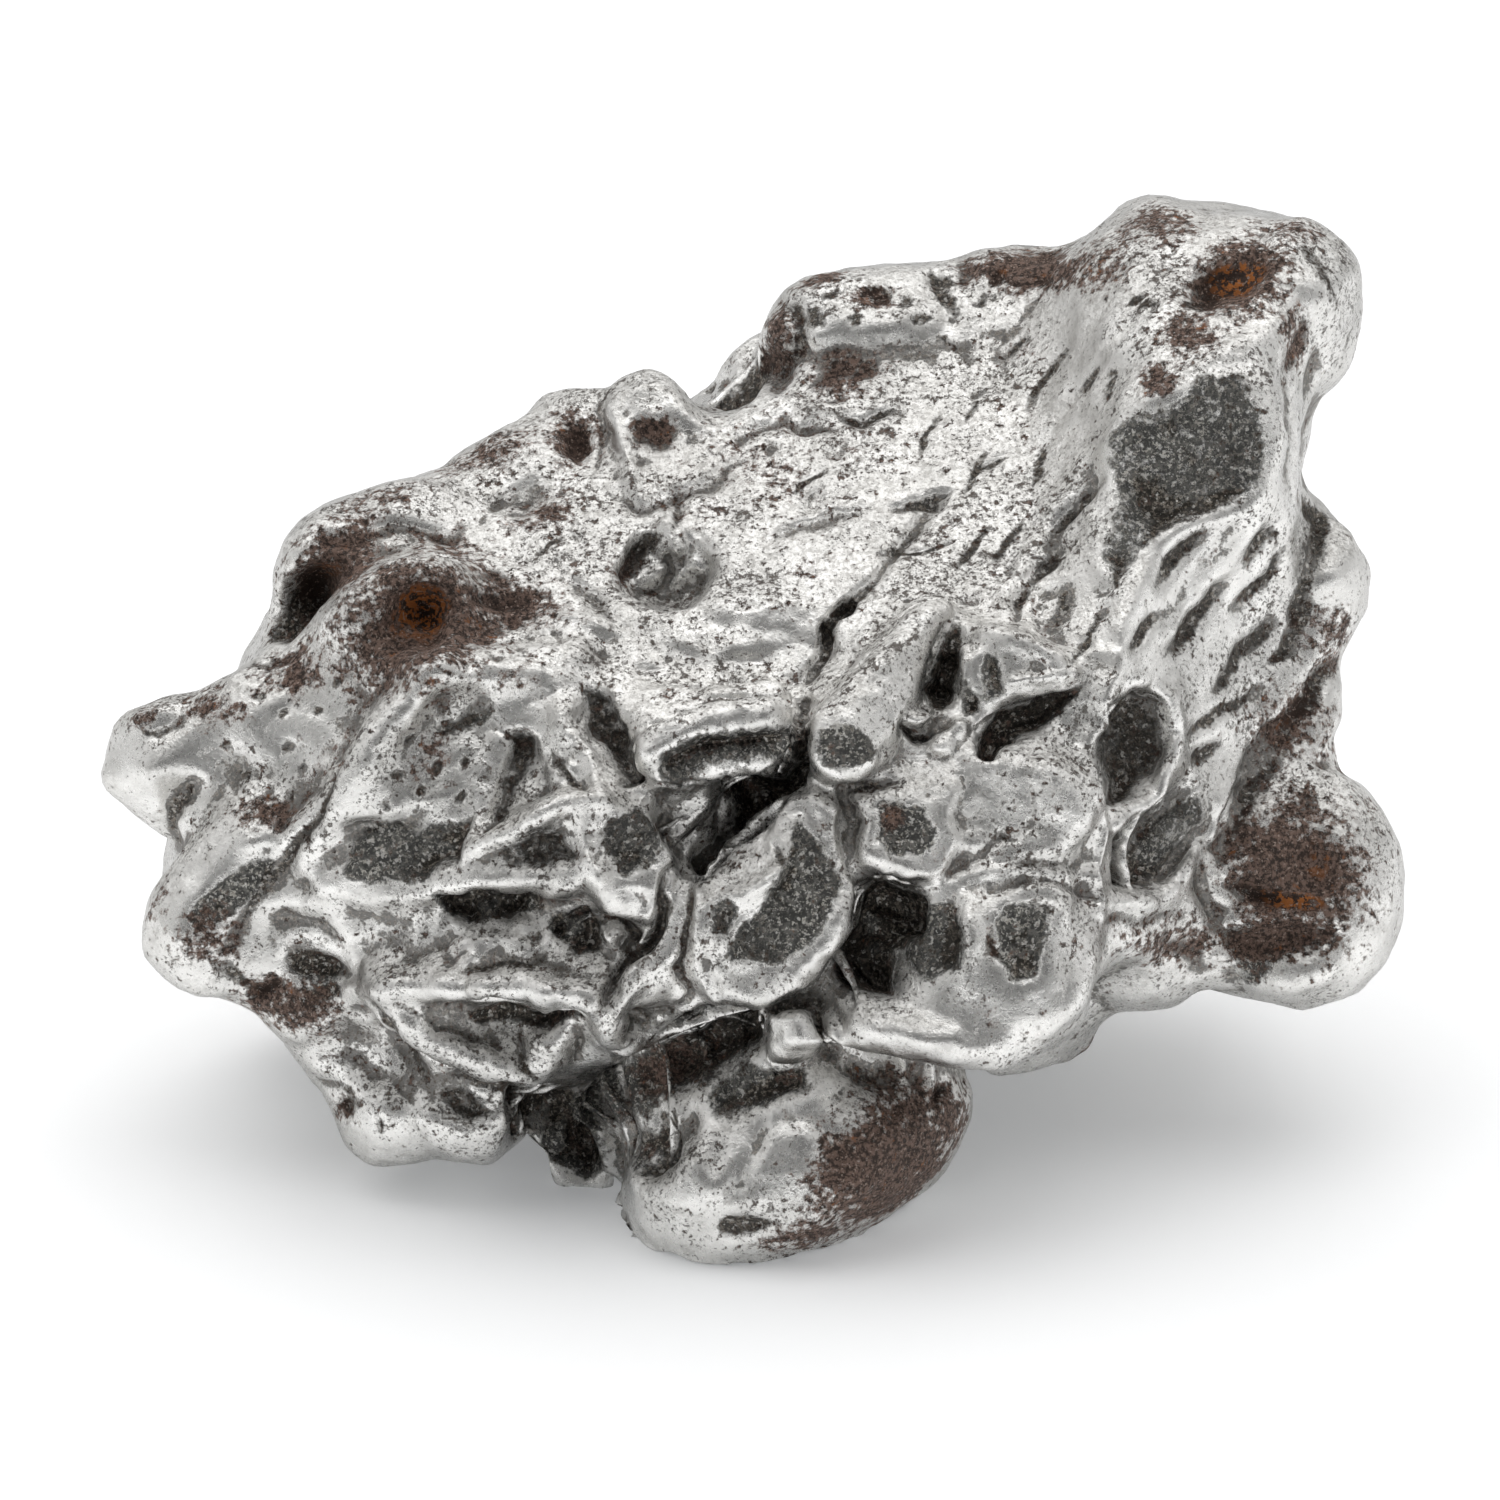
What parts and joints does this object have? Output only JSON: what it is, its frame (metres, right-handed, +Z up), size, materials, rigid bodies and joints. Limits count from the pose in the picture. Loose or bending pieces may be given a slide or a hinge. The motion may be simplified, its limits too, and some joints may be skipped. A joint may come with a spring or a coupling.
{
  "type": "iron meteorite",
  "caption": "Solid lump of nickel-iron with knobs, dents and deep clefts, resting on its own flattened lobes.",
  "frame": {"origin": "on the surface the stone rests on, under the middle of its box", "axes": "+X along the stone's length towards its tall end, +Y towards its back, +Z up"},
  "size_m": [0.0653, 0.0419, 0.0433],
  "materials": {
    "meteorite": "bright worn nickel-iron, pitted, with dark oxide in the dents and brown rust patches"
  },
  "bodies": {
    "root": {"meteorite": "meteorite"}
  },
  "joints": []
}
